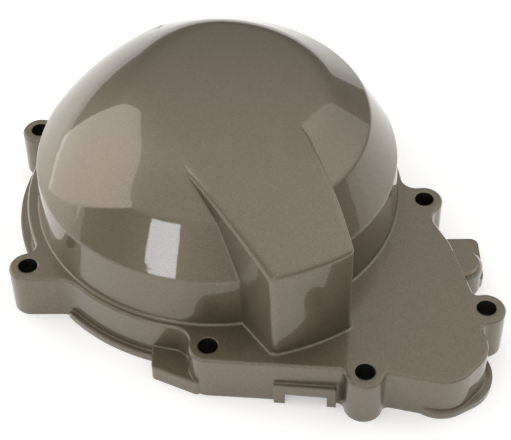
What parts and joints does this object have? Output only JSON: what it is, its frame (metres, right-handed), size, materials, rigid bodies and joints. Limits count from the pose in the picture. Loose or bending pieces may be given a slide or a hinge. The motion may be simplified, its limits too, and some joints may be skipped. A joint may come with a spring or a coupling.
{
  "type": "crankcase cover",
  "caption": "Domed generator cover for a motorcycle crankcase, cast in one piece with a wedge-shaped arm, a flat bolting flange and bolt bosses.",
  "frame": {"origin": "middle of the footprint, on the gasket face", "axes": "+Z out of the engine towards the dome's crown, +X towards the wiring pocket, -Y towards the arm's blunt end"},
  "size_m": [0.1802, 0.1802, 0.073],
  "materials": {
    "cast_aluminium": "gloss"
  },
  "bodies": {
    "root": {"generator_cover_casting": "cast_aluminium"}
  },
  "joints": []
}
